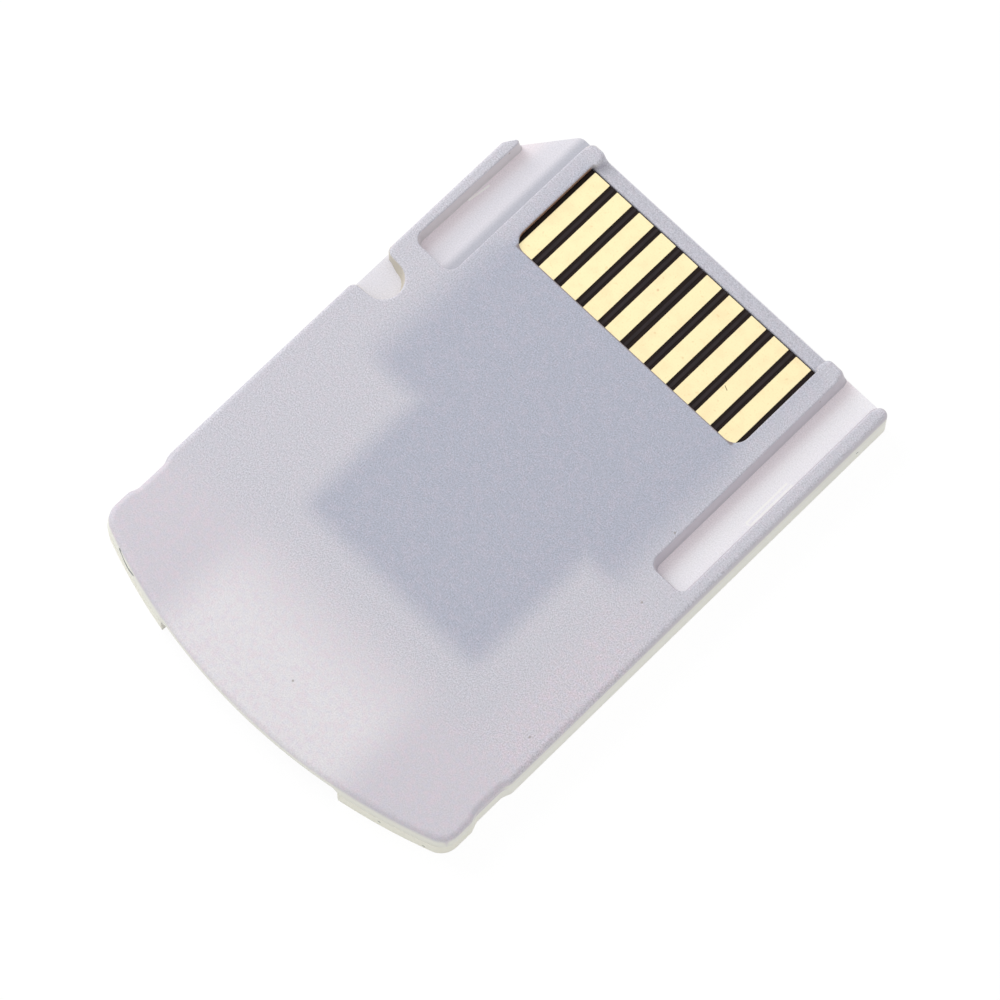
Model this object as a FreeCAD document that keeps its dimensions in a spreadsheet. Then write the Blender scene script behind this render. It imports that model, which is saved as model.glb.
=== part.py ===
"""Memory card adapter in the form of a small game card, modelled in millimetres.

Two moulded shells close round a circuit board. Its gold pads show in a window at the contact end
and mate with the console; a low socket under the board takes a small memory card, which slides in
at the curved end. The card lies on its front face with the pads up. X runs across the card, Y
towards the contact end and Z up; the origin is under the middle of the card.
"""
import FreeCAD, Part
import os

import Sketcher

SIZES = {
    # the card as a whole
    "card_width": 21.9,
    "card_length": 30.5,
    "front_thickness": 1.2,
    "roof_thickness": 0.36,
    "end_radius": 30.0,
    "end_step": 0.11,
    "end_corner_radius": 1.0,
    "nose_corner_radius": 0.35,
    "key_side": 2.93,
    "key_end": 2.25,
    "key_corner_radius": 0.45,
    "edge_round": 0.15,
    "rim_round": 0.12,
    # shallow finger grips in the long sides
    "grip_from_curve": 4.85,
    "grip_length": 2.5,
    "grip_depth": 0.18,
    "grip_slope": 0.45,
    "grip_round": 0.5,
    # guide grooves beside the contacts, open at the contact end
    "groove_taper": 0.15,
    "groove_end_round": 0.4,
    "left_rail_width": 0.48,
    "left_tower_width": 0.88,
    "left_groove_length": 9.24,
    "right_rail_width": 0.69,
    "right_tower_width": 1.02,
    "right_groove_length": 12.84,
    "tower_round": 0.3,
    # latch notch in the left side
    "notch_width": 2.0,
    "notch_depth": 1.88,
    "notch_from_groove": 1.34,
    "notch_lip_round": 0.25,
    # contact window and the ramped lip in front of it
    "window_gap": 0.21,
    "window_from_end": 6.14,
    "window_round": 0.4,
    "lip_length": 0.85,
    "lip_drop": 0.38,
    "lip_tip": 0.06,
    "lip_setback": 0.05,
    # circuit board
    "board_thickness": 0.4,
    "board_wall": 0.28,
    "board_shoulder": 14.3,
    "board_reach": 21.55,
    "board_round": 0.5,
    "board_clearance": 0.05,
    # gold contact pads
    "pad_pitch": 1.424,
    "pad_width": 0.966,
    "pad_thickness": 0.04,
    "pad_middle_gap": 0.1,
    "pad_margin": 0.05,
    "pad_hidden": 0.6,
    # the memory card that goes in, and the slot for it
    "insert_width": 11.0,
    "insert_nose_width": 9.7,
    "insert_clearance": 0.15,
    "insert_from_end": 14.6,
    "slot_corner_round": 0.2,
    # card socket
    "shield_sheet": 0.15,
    "shield_recess": 0.05,
    "shield_bend": 0.3,
    "shield_margin": 0.15,
    "shield_gap": 0.1,
    "tongue_width": 1.3,
    "tongue_length": 3.4,
    "tongue_cut": 0.3,
    "tongue_spacing": 4.4,
    "housing_back": 1.6,
    "housing_plate": 0.25,
    "housing_bar": 0.6,
    "spring_pitch": 1.1,
    "spring_width": 0.4,
    "spring_sheet": 0.1,
    "spring_slot_room": 0.1,
    "spring_root": 1.0,
    "spring_tip": 3.3,
    "spring_drop": 0.36,
    "spring_curl": 0.6,
    "spring_curl_rise": 0.14,
    "spring_bend": 0.35,
    "spring_tail": 0.9,
    "tail_room": 0.15,
    # ceramic capacitor across the socket's supply
    "capacitor_length": 1.0,
    "capacitor_width": 0.5,
    "capacitor_height": 0.5,
    "capacitor_aside": 6.0,
    "capacitor_from_end": 11.5,
    "capacitor_room": 0.2,
}
PAD_COUNT = 10
SPRING_COUNT = 8
NEAR = 1e-6

doc = FreeCAD.newDocument("memory_card_adapter")
sheet = doc.addObject("Spreadsheet::Sheet", "Sizes")
for row, (alias, size) in enumerate(SIZES.items(), start=1):
    sheet.set(f"A{row}", alias)
    sheet.set(f"B{row}", str(size))
    sheet.setAlias(f"B{row}", alias)
doc.recompute()

# places that several pieces share, as expressions on the sheet
SIDE = "Sizes.card_width / 2"
NOSE = "Sizes.card_length / 2"
PARTING = "Sizes.front_thickness"
BED_DEPTH = "(Sizes.board_thickness + Sizes.pad_thickness)"
BACK_DEPTH = f"({BED_DEPTH} + Sizes.roof_thickness)"
TOP = f"({PARTING} + {BACK_DEPTH})"
THROUGH_BACK = f"2 * {BACK_DEPTH}"
END_CENTRE = "(Sizes.end_radius - Sizes.card_length / 2)"
OUTSIDE = "Sizes.card_width"
PAD_ROW = f"(Sizes.pad_pitch * {PAD_COUNT - 1} + Sizes.pad_middle_gap + Sizes.pad_width)"
WINDOW_SIDE = f"({PAD_ROW} / 2 + Sizes.window_gap)"
WINDOW_FOOT = f"({NOSE} - Sizes.window_from_end)"
LIP = f"({NOSE} - Sizes.lip_length)"
BOARD_END = f"({LIP} - Sizes.board_clearance)"
BOARD_SIDE = f"({WINDOW_SIDE} + Sizes.left_tower_width - Sizes.board_wall)"
BOARD_SHOULDER = f"({NOSE} - Sizes.board_shoulder)"
BOARD_TAIL = f"({NOSE} - Sizes.board_reach)"
BOARD_TOP = f"({PARTING} + Sizes.board_thickness)"
SLOT_SIDE = "(Sizes.insert_width / 2 + Sizes.insert_clearance)"
SOCKET_X = "(Sizes.insert_width - Sizes.insert_nose_width) / 2"
SOCKET_INSIDE = "(Sizes.insert_nose_width / 2 + Sizes.insert_clearance)"
SOCKET_SIDE = f"({SOCKET_INSIDE} + Sizes.shield_sheet)"
TAB_SIDE = f"({SOCKET_SIDE} + Sizes.shield_margin)"
STOP = f"({NOSE} - Sizes.insert_from_end)"
SOCKET_BACK = f"({STOP} + Sizes.housing_back)"
SOCKET_MOUTH = f"({BOARD_TAIL} + Sizes.shield_margin)"
SHIELD_FACE = "(Sizes.shield_recess + Sizes.shield_sheet)"
CAPACITOR_Y = f"({NOSE} - Sizes.capacitor_from_end)"


def number(expression):
    """The number that an expression on the sheet gives."""
    return float(sheet.evalExpression(expression))


def new_body(label):
    body = doc.addObject("PartDesign::Body", label)
    body.Label = label
    return body


def sketch_on(body, role, name, offset="0"):
    """An empty sketch on an origin plane of the body, moved along the plane's normal."""
    sketch = body.newObject("Sketcher::SketchObject", name)
    plane = next(feature for feature in body.Origin.OriginFeatures if feature.Role == role)
    sketch.AttachmentSupport = [(plane, "")]
    sketch.MapMode = "FlatFace"
    sketch.setExpression("AttachmentOffset.Base.z", offset)
    return sketch


def tie(sketch, kind, edge, end, expression):
    """Ties one coordinate of a sketch point, counted from the sketch's origin, to an expression."""
    constraint = Sketcher.Constraint(kind, -1, 1, edge, end, number(expression))
    sketch.setExpression(f"Constraints[{sketch.addConstraint(constraint)}]", expression)


def draw(sketch, corners):
    """A closed profile through corners whose coordinates are expressions.

    A corner's third entry is the centre of an arc that leads to the next corner the short way
    round; a half circle runs anticlockwise.
    """
    points = [FreeCAD.Vector(number(corner[0]), number(corner[1]), 0) for corner in corners]
    edges = []
    for corner, start, end in zip(corners, points, points[1:] + points[:1]):
        if len(corner) == 2:
            edges.append((sketch.addGeometry(Part.LineSegment(start, end)), 1, 2))
            continue
        centre = FreeCAD.Vector(number(corner[2][0]), number(corner[2][1]), 0)
        circle = Part.Circle(centre, FreeCAD.Vector(0, 0, 1), (start - centre).Length)
        angles = [circle.parameter(start), circle.parameter(end)]
        anticlockwise = (start - centre).cross(end - centre).z > -NEAR
        arc = Part.ArcOfCircle(circle, *(angles if anticlockwise else angles[::-1]))
        edges.append((sketch.addGeometry(arc), 1, 2) if anticlockwise else (sketch.addGeometry(arc), 2, 1))
        if abs(end.x - start.x) > abs(end.y - start.y):
            tie(sketch, "DistanceY", edges[-1][0], 3, corner[2][1])
        else:
            tie(sketch, "DistanceX", edges[-1][0], 3, corner[2][0])
    for corner, (edge, first, last), (following, start, _) in zip(corners, edges, edges[1:] + edges[:1]):
        sketch.addConstraint(Sketcher.Constraint("Coincident", edge, last, following, start))
        tie(sketch, "DistanceX", edge, first, corner[0])
        tie(sketch, "DistanceY", edge, first, corner[1])
    return sketch


def rectangle(left, right, low, high):
    return [(left, low), (right, low), (right, high), (left, high)]


def extrude(kind, body, name, sketch, length, both_ways=False, turned=False):
    """A pad or pocket; a pocket that leaves the volume as it was points the wrong way."""
    before = body.Shape.Volume if body.Tip else 0.0
    feature = body.newObject(f"PartDesign::{kind}", name)
    feature.Profile = sketch
    feature.SideType = "Symmetric" if both_ways else "One side"
    feature.Reversed = turned
    feature.setExpression("Length", length)
    doc.recompute()
    change = body.Shape.Volume - before
    if (change <= 0) if kind == "Pad" else (change >= 0):
        raise ValueError(f"{name} of {body.Label} does not change the solid")
    return feature


def round_over(body, name, edges, radius):
    """A fillet on named edges of the body's last feature."""
    base = body.Tip
    fillet = body.newObject("PartDesign::Fillet", name)
    fillet.Base = (base, edges)
    fillet.setExpression("Radius", radius)
    doc.recompute()
    return fillet


def edges_through(body, points, flat_axis):
    """Names of the body's edges that start or end at a point seen along flat_axis."""
    seen = [axis for axis in "xyz" if axis != flat_axis]
    places = [[number(value) for value in point[:2]] for point in points]
    names = []
    for count, edge in enumerate(body.Shape.Edges, start=1):
        ends = [vertex.Point for vertex in edge.Vertexes]
        if len(ends) < 2 or abs(getattr(ends[0], flat_axis) - getattr(ends[1], flat_axis)) < NEAR:
            continue
        spots = [[getattr(end, axis) for axis in seen] for end in ends]
        if any(max(abs(a - b) for a, b in zip(spot, place)) < NEAR for spot in spots for place in places):
            names.append(f"Edge{count}")
    return names


def edge_near(body, *point):
    """The name of the body's edge nearest to a point; a fillet runs on from it along smooth joins."""
    vertex = Part.Vertex(*[number(value) for value in point])
    gaps = [edge.distToShape(vertex)[0] for edge in body.Shape.Edges]
    return [f"Edge{gaps.index(min(gaps)) + 1}"]


def card_outline(step):
    """The card's outline with its keyed corner; step moves the curved end outwards."""
    radius = f"(Sizes.end_radius + {step})"
    corner = f"{END_CENTRE} - sqrt({radius} ^ 2 - ({SIDE}) ^ 2)"
    return [
        (f"-{SIDE}", corner, ("0", END_CENTRE)),
        (SIDE, corner),
        (SIDE, NOSE),
        (f"-{SIDE} + Sizes.key_end", NOSE),
        (f"-{SIDE}", f"{NOSE} - Sizes.key_side"),
    ]


def grip_outline(side):
    """A shallow trapezoid cut into one long side: side is + for the right one, - for the left."""
    middle = f"Sizes.grip_from_curve - {NOSE}"
    low, high = f"{middle} - Sizes.grip_length / 2", f"{middle} + Sizes.grip_length / 2"
    edge, floor = f"{side}({SIDE})", f"{side}({SIDE} - Sizes.grip_depth)"
    corners = [
        (edge, low),
        (f"{side}({OUTSIDE})", low),
        (f"{side}({OUTSIDE})", high),
        (edge, high),
        (floor, f"{high} - Sizes.grip_slope"),
        (floor, f"{low} + Sizes.grip_slope"),
    ]
    return corners if side == "+" else corners[::-1]


def shell_blank(label, bottom, depth, step):
    """A plate of the card's outline with its grips and rounded corners."""
    body = new_body(label)
    outline = draw(sketch_on(body, "XY_Plane", f"{label}_outline", bottom), card_outline(step))
    extrude("Pad", body, f"{label}_plate", outline, depth)
    grips = sketch_on(body, "XY_Plane", f"{label}_grips", bottom)
    for side in "+-":
        draw(grips, grip_outline(side))
    extrude("Pocket", body, f"{label}_grip_cut", grips, depth, turned=True)
    bends = grip_outline("+") + grip_outline("-")
    round_over(body, f"{label}_grip_bends", edges_through(body, bends, "z"), "Sizes.grip_round")
    ends = card_outline(step)[:2]
    round_over(body, f"{label}_end_corners", edges_through(body, ends, "z"), "Sizes.end_corner_radius")
    nose = card_outline(step)[2:3]
    round_over(body, f"{label}_nose_corner", edges_through(body, nose, "z"), "Sizes.nose_corner_radius")
    return body


def groove_outline(rail, tower, foot, inwards, taper):
    """A guide groove between its rail and its tower, from a rounded blind end past the contact end.

    inwards is + where the tower lies to the right of the rail and - where it lies to the left, and
    taper brings the walls closer. The groove flares at the contact end, which rounds the rail and
    the tower there.
    """
    outwards = "-" if inwards == "+" else "+"
    rail, tower = f"{rail} {inwards} {taper}", f"{tower} {outwards} {taper}"
    low, bend = f"{foot} + {taper}", f"(Sizes.groove_end_round - {taper})"
    flare = f"(Sizes.tower_round + {taper})"
    start, mouth = f"{low} + {bend}", f"{NOSE} - Sizes.tower_round"
    rail_bend, rail_flare = f"{rail} {inwards} {bend}", f"{rail} {outwards} {flare}"
    tower_bend, tower_flare = f"{tower} {outwards} {bend}", f"{tower} {inwards} {flare}"
    end, beyond = f"{mouth} + {flare}", f"{NOSE} + {BACK_DEPTH}"
    return [
        (rail, start, (rail_bend, start)),
        (rail_bend, low),
        (tower_bend, low, (tower_bend, start)),
        (tower, start),
        (tower, mouth, (tower_flare, mouth)),
        (tower_flare, end),
        (tower_flare, beyond),
        (rail_flare, beyond),
        (rail_flare, end, (rail_flare, mouth)),
        (rail, mouth),
    ]


def board_outline(room):
    """The board's T: a wide part under the contacts and a tab that carries the socket."""
    left, right = f"{SOCKET_X} - {TAB_SIDE} - {room}", f"{SOCKET_X} + {TAB_SIDE} + {room}"
    wide = f"({BOARD_SIDE} + {room})"
    tail, shoulder = f"{BOARD_TAIL} - {room}", f"{BOARD_SHOULDER} - {room}"
    end = f"{BOARD_END} + {room}"
    return [
        (left, tail),
        (right, tail),
        (right, shoulder),
        (wide, shoulder),
        (wide, end),
        (f"-{wide}", end),
        (f"-{wide}", shoulder),
        (left, shoulder),
    ]


def make_back_shell():
    """The cover on the contact side: grooves, notch, contact window and the board's pocket."""
    body = shell_blank("back_shell", PARTING, BACK_DEPTH, "0")
    left_foot = f"{NOSE} - Sizes.left_groove_length"
    right_foot = f"{NOSE} - Sizes.right_groove_length"
    left_tower = f"-{WINDOW_SIDE} - Sizes.left_tower_width"
    right_tower = f"{WINDOW_SIDE} + Sizes.right_tower_width"
    left = (f"-{SIDE} + Sizes.left_rail_width", left_tower, left_foot, "+")
    right = (f"{SIDE} - Sizes.right_rail_width", right_tower, right_foot, "-")
    for name, groove in (("left", left), ("right", right)):
        floor = sketch_on(body, "XY_Plane", f"{name}_groove_floor", PARTING)
        mouth = sketch_on(body, "XY_Plane", f"{name}_groove_mouth", TOP)
        draw(floor, groove_outline(*groove, "Sizes.groove_taper"))
        draw(mouth, groove_outline(*groove, "0"))
        loft = body.newObject("PartDesign::SubtractiveLoft", f"{name}_groove")
        loft.Profile = mouth
        loft.Sections = [floor]
        loft.Ruled = True
        doc.recompute()

    high = f"{left_foot} - Sizes.notch_from_groove"
    low, notch_y = f"{high} - Sizes.notch_width", f"{high} - Sizes.notch_width / 2"
    bottom = f"-{SIDE} + Sizes.notch_depth - Sizes.notch_width / 2"
    notch = draw(sketch_on(body, "XY_Plane", "notch", TOP), [
        (f"-{OUTSIDE}", low),
        (bottom, low, (bottom, notch_y)),
        (bottom, high),
        (f"-{OUTSIDE}", high),
    ])
    extrude("Pocket", body, "notch_cut", notch, THROUGH_BACK)
    lips = edges_through(body, [(f"-{SIDE}", low), (f"-{SIDE}", high)], "z")
    round_over(body, "notch_lips", lips, "Sizes.notch_lip_round")

    mouth, flare = f"{NOSE} - Sizes.tower_round", f"{WINDOW_SIDE} + Sizes.tower_round"
    window = [
        (f"-{WINDOW_SIDE}", WINDOW_FOOT),
        (WINDOW_SIDE, WINDOW_FOOT),
        (WINDOW_SIDE, mouth, (flare, mouth)),
        (flare, NOSE),
        (flare, f"{NOSE} + {BACK_DEPTH}"),
        (f"-({flare})", f"{NOSE} + {BACK_DEPTH}"),
        (f"-({flare})", NOSE, (f"-({flare})", mouth)),
        (f"-{WINDOW_SIDE}", mouth),
    ]
    opening = draw(sketch_on(body, "XY_Plane", "window", TOP), window)
    extrude("Pocket", body, "window_cut", opening, THROUGH_BACK)
    round_over(body, "window_corners", edges_through(body, window[:2], "z"), "Sizes.window_round")
    ramp = draw(sketch_on(body, "YZ_Plane", "lip_ramp"), [
        (LIP, PARTING),
        (f"{NOSE} - Sizes.lip_setback", PARTING),
        (f"{NOSE} - Sizes.lip_setback", f"{PARTING} + Sizes.lip_tip"),
        (LIP, f"{TOP} - Sizes.lip_drop"),
    ])
    extrude("Pad", body, "lip", ramp, f"2 * {WINDOW_SIDE}", both_ways=True)

    pocket = board_outline("Sizes.board_clearance")
    bed = draw(sketch_on(body, "XY_Plane", "board_bed", PARTING), pocket)
    extrude("Pocket", body, "board_pocket", bed, BED_DEPTH, turned=True)
    corners = edges_through(body, pocket[:4] + pocket[6:], "z")
    round_over(body, "board_pocket_corners", corners, "Sizes.board_round")
    half = f"({WINDOW_SIDE} + {SIDE}) / 2"
    round_over(body, "back_shell_rim", edge_near(body, SIDE, "0", TOP), "Sizes.edge_round")
    round_over(body, "left_groove_rim", edge_near(body, f"-{half}", left_foot, TOP), "Sizes.rim_round")
    round_over(body, "right_groove_rim", edge_near(body, half, right_foot, TOP), "Sizes.rim_round")
    round_over(body, "window_rim", edge_near(body, "0", WINDOW_FOOT, TOP), "Sizes.rim_round")
    return body


def make_front_shell():
    """The lower half: a plate with the slot for the memory card and room for the socket."""
    body = shell_blank("front_shell", "0", PARTING, "Sizes.end_step")
    key = card_outline("Sizes.end_step")[3:]
    round_over(body, "key_corners", edges_through(body, key, "z"), "Sizes.key_corner_radius")
    left = f"{SOCKET_X} - {SOCKET_SIDE} - Sizes.shield_gap"
    right = f"{SOCKET_X} + {SOCKET_SIDE} + Sizes.shield_gap"
    back, mouth = f"{SOCKET_BACK} + Sizes.shield_gap", f"{BOARD_TAIL}"
    slot = [
        (f"-{SLOT_SIDE}", f"-{NOSE} - {TOP}"),
        (SLOT_SIDE, f"-{NOSE} - {TOP}"),
        (SLOT_SIDE, mouth),
        (right, mouth),
        (right, back),
        (left, back),
        (left, mouth),
        (f"-{SLOT_SIDE}", mouth),
    ]
    opening = draw(sketch_on(body, "XY_Plane", "card_slot"), slot)
    extrude("Pocket", body, "slot_cut", opening, PARTING, turned=True)
    room_corners = edges_through(body, slot[4:6], "z")
    round_over(body, "socket_room_corners", room_corners, "Sizes.slot_corner_round")
    shoulder = edges_through(body, slot[6:], "z")
    shoulder_width = f"abs({SLOT_SIDE} + {left})"
    round_over(body, "slot_shoulder", shoulder, f"min(Sizes.slot_corner_round; {shoulder_width} / 3)")
    tails = f"(Sizes.spring_pitch * {SPRING_COUNT} / 2)"
    tail_end = f"{SOCKET_BACK} + Sizes.spring_tail + Sizes.tail_room"
    bed = draw(sketch_on(body, "XY_Plane", "tail_bed", PARTING), rectangle(
        f"{SOCKET_X} - {tails}", f"{SOCKET_X} + {tails}", STOP, tail_end))
    extrude("Pocket", body, "tail_cut", bed, "Sizes.spring_sheet + Sizes.tail_room")
    half_length = "(Sizes.capacitor_length / 2 + Sizes.capacitor_room)"
    half_width = "(Sizes.capacitor_width / 2 + Sizes.capacitor_room)"
    well = draw(sketch_on(body, "XY_Plane", "capacitor_well", PARTING), rectangle(
        f"-Sizes.capacitor_aside - {half_width}", f"-Sizes.capacitor_aside + {half_width}",
        f"{CAPACITOR_Y} - {half_length}", f"{CAPACITOR_Y} + {half_length}"))
    extrude("Pocket", body, "well_cut", well, "Sizes.capacitor_height + Sizes.capacitor_room")
    round_over(body, "front_shell_rim", edge_near(body, SIDE, "0", "0"), "Sizes.edge_round")
    return body


def make_circuit_board():
    """The bare board, which lies on the front shell and fills the back shell's pocket."""
    body = new_body("circuit_board")
    outline = board_outline("0")
    sketch = draw(sketch_on(body, "XY_Plane", "board_outline", PARTING), outline)
    extrude("Pad", body, "board_plate", sketch, "Sizes.board_thickness")
    corners = edges_through(body, outline[:4] + outline[6:], "z")
    round_over(body, "board_corners", corners, "Sizes.board_round")
    return body


def make_contact_pad(index):
    """One gold pad on the board; a slightly wider gap divides the row in the middle."""
    from_middle = index - (PAD_COUNT - 1) / 2
    side = "+" if from_middle > 0 else "-"
    middle = f"{from_middle} * Sizes.pad_pitch {side} Sizes.pad_middle_gap / 2"
    foot = f"({WINDOW_FOOT} - Sizes.pad_hidden)"
    pad = doc.addObject("Part::Box", f"contact_pad_{index + 1}")
    pad.setExpression("Length", "Sizes.pad_width")
    pad.setExpression("Width", f"{BOARD_END} - Sizes.pad_margin - {foot}")
    pad.setExpression("Height", "Sizes.pad_thickness")
    pad.setExpression("Placement.Base.x", f"{middle} - Sizes.pad_width / 2")
    pad.setExpression("Placement.Base.y", foot)
    pad.setExpression("Placement.Base.z", BOARD_TOP)
    return pad


def spring_x(index):
    return f"{SOCKET_X} + {index - (SPRING_COUNT - 1) / 2} * Sizes.spring_pitch"


def make_socket_housing():
    """The socket's insulator: a stop for the memory card and a slotted plate under the board."""
    body = new_body("socket_housing")
    left, right = f"{SOCKET_X} - {SOCKET_INSIDE}", f"{SOCKET_X} + {SOCKET_INSIDE}"
    block = draw(sketch_on(body, "XY_Plane", "housing_block", PARTING),
                 rectangle(left, right, STOP, SOCKET_BACK))
    extrude("Pad", body, "housing_stop", block, f"{PARTING} - {SHIELD_FACE}", turned=True)
    slot_end = f"{STOP} - Sizes.spring_tip - Sizes.spring_curl - Sizes.spring_slot_room"
    plate = draw(sketch_on(body, "XY_Plane", "housing_plate", PARTING),
                 rectangle(left, right, f"{slot_end} - Sizes.housing_bar", STOP))
    extrude("Pad", body, "housing_floor", plate, "Sizes.housing_plate", turned=True)
    feet = edges_through(body, [(left, SHIELD_FACE), (right, SHIELD_FACE)], "y")
    round_over(body, "housing_feet", feet, "Sizes.shield_bend - Sizes.shield_sheet")
    seats = sketch_on(body, "XY_Plane", "spring_seats", PARTING)
    slots = sketch_on(body, "XY_Plane", "spring_slots", PARTING)
    seat_half = "Sizes.spring_width / 2"
    slot_half = "(Sizes.spring_width / 2 + Sizes.spring_slot_room)"
    for index in range(SPRING_COUNT):
        middle = spring_x(index)
        draw(seats, rectangle(f"{middle} - {seat_half}", f"{middle} + {seat_half}", STOP, SOCKET_BACK))
        draw(slots, rectangle(f"{middle} - {slot_half}", f"{middle} + {slot_half}", slot_end, STOP))
    extrude("Pocket", body, "seat_cut", seats, "Sizes.spring_sheet")
    extrude("Pocket", body, "slot_cut", slots, "Sizes.housing_plate")
    return body


def make_spring_contact(index):
    """One bent spring strip: its tail is soldered to the board, its tip bears on the memory card."""
    body = new_body(f"spring_contact_{index + 1}")
    level = PARTING
    root, tip = f"{STOP} - Sizes.spring_root", f"{STOP} - Sizes.spring_tip"
    end, tail = f"{tip} - Sizes.spring_curl", f"{SOCKET_BACK} + Sizes.spring_tail"
    low = f"{level} - Sizes.spring_drop"
    centre_line = [(end, f"{low} + Sizes.spring_curl_rise"), (tip, low), (root, level), (tail, level)]
    under = [(y, f"{z} - Sizes.spring_sheet") for y, z in centre_line]
    strip = draw(sketch_on(body, "YZ_Plane", f"strip_{index + 1}", spring_x(index)),
                 under + centre_line[::-1])
    extrude("Pad", body, f"spring_{index + 1}", strip, "Sizes.spring_width", both_ways=True)
    inner = edges_through(body, [centre_line[1], under[2]], "x")
    round_over(body, f"inner_bends_{index + 1}", inner, "Sizes.spring_bend")
    outer = edges_through(body, [under[1], centre_line[2]], "x")
    round_over(body, f"outer_bends_{index + 1}", outer, "Sizes.spring_bend + Sizes.spring_sheet")
    return body


def make_socket_shield():
    """The socket's folded sheet-metal cover, with two friction tongues cut free in it."""
    body = new_body("socket_shield")
    left, right = f"{SOCKET_X} - {SOCKET_SIDE}", f"{SOCKET_X} + {SOCKET_SIDE}"
    inner_left, inner_right = f"{SOCKET_X} - {SOCKET_INSIDE}", f"{SOCKET_X} + {SOCKET_INSIDE}"
    channel = draw(sketch_on(body, "XZ_Plane", "shield_section", f"-{SOCKET_MOUTH}"), [
        (left, "Sizes.shield_recess"),
        (right, "Sizes.shield_recess"),
        (right, PARTING),
        (inner_right, PARTING),
        (inner_right, SHIELD_FACE),
        (inner_left, SHIELD_FACE),
        (inner_left, PARTING),
        (left, PARTING),
    ])
    length = f"{SOCKET_BACK} - {SOCKET_MOUTH}"
    extrude("Pad", body, "shield_channel", channel, length, turned=True)
    bends = edges_through(body, [(left, "Sizes.shield_recess"), (right, "Sizes.shield_recess")], "y")
    round_over(body, "outer_bends", bends, "Sizes.shield_bend")
    bends = edges_through(body, [(inner_left, SHIELD_FACE), (inner_right, SHIELD_FACE)], "y")
    round_over(body, "inner_bends", bends, "Sizes.shield_bend - Sizes.shield_sheet")
    cuts = sketch_on(body, "XY_Plane", "tongue_cuts", "Sizes.shield_recess")
    free_end = f"{SOCKET_MOUTH} + Sizes.tongue_width"
    for side in "-+":
        middle = f"{SOCKET_X} {side} Sizes.tongue_spacing / 2"
        half = "Sizes.tongue_width / 2"
        near, far = f"{free_end} + Sizes.tongue_cut", f"{free_end} + Sizes.tongue_length"
        draw(cuts, [
            (f"{middle} - {half} - Sizes.tongue_cut", free_end),
            (f"{middle} + {half} + Sizes.tongue_cut", free_end),
            (f"{middle} + {half} + Sizes.tongue_cut", far),
            (f"{middle} + {half}", far),
            (f"{middle} + {half}", near),
            (f"{middle} - {half}", near),
            (f"{middle} - {half}", far),
            (f"{middle} - {half} - Sizes.tongue_cut", far),
        ])
    extrude("Pocket", body, "tongue_cut", cuts, "Sizes.shield_sheet", turned=True)
    return body


def make_supply_capacitor():
    """A small ceramic capacitor under the board, in its own well in the front shell."""
    chip = doc.addObject("Part::Box", "supply_capacitor")
    chip.setExpression("Length", "Sizes.capacitor_width")
    chip.setExpression("Width", "Sizes.capacitor_length")
    chip.setExpression("Height", "Sizes.capacitor_height")
    chip.setExpression("Placement.Base.x", "-Sizes.capacitor_aside - Sizes.capacitor_width / 2")
    chip.setExpression("Placement.Base.y", f"{CAPACITOR_Y} - Sizes.capacitor_length / 2")
    chip.setExpression("Placement.Base.z", f"{PARTING} - Sizes.capacitor_height")
    return chip


pieces = [make_front_shell(), make_socket_shield(), make_socket_housing()]
pieces += [make_spring_contact(index) for index in range(SPRING_COUNT)]
pieces += [make_supply_capacitor(), make_circuit_board()]
pieces += [make_contact_pad(index) for index in range(PAD_COUNT)]
pieces += [make_back_shell()]
doc.recompute()

failed = [item.Name for item in doc.Objects if {"Invalid", "Error"} & set(item.State)]
failed += [piece.Label for piece in pieces if piece.Shape.isNull() or not piece.Shape.isValid()]
if failed:
    raise ValueError(f"failed objects: {failed}")
os.makedirs("parts", exist_ok=True)
for piece in pieces:
    piece.Shape.exportStep(f"parts/{piece.Label}.step")
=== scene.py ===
import math
from collections import namedtuple

import bmesh
import bpy
from mathutils import Matrix, Vector


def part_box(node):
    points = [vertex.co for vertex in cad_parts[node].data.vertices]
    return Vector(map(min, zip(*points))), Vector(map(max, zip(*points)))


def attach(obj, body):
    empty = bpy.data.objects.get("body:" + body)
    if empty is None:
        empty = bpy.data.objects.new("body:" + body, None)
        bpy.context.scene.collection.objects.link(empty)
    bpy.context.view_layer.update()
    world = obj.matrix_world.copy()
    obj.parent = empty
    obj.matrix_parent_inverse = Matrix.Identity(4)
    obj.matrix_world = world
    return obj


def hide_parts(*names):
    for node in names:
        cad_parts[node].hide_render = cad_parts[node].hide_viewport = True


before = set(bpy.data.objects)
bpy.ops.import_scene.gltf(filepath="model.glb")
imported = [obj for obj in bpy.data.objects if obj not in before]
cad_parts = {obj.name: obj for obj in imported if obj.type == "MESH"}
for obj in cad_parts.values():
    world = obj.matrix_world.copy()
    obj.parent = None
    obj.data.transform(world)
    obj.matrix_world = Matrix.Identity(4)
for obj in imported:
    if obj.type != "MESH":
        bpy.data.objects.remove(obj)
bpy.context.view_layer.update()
scene = bpy.context.scene

# Front shell: the lower half of the card, moulded in milky plastic. Everywhere but its flat top it is
# painted pale cream, a painted glow for light that shines through its thin sides. Its flat top is the
# floor of both guide grooves and of the latch notch, and the slot for the memory card is open at its
# curved end. It is welded to the back shell along its rim.
MM = 0.001
MERGE = 0.0005 * MM
CREASE = math.radians(38)
PARTING = 1.2
SIDE, NOSE = 10.95, 15.25
END_RADIUS, END_CENTRE = 30.0, 14.75
LEFT_FLOOR, RIGHT_FLOOR = (225, 223, 230), (242, 240, 244)
FLOOR_WALL_GLOW, WALL_GLOW_AT, WALL_GLOW_WIDE = (242, 232, 237), (-10.27, 8.37), 1.0
FLOOR_SHADE, SHADE_AT, SHADE_WIDE, GROOVES_FROM = (178, 180, 190), -8.3, 0.6, 5.0
FRONT_EDGE_GLOW, EDGE_CREAM_GLOW = (242, 241, 231), (239, 237, 223)
FRONT_MARK, FLOOR_SHINE = (70, 84, 84), (252, 251, 248)
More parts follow.
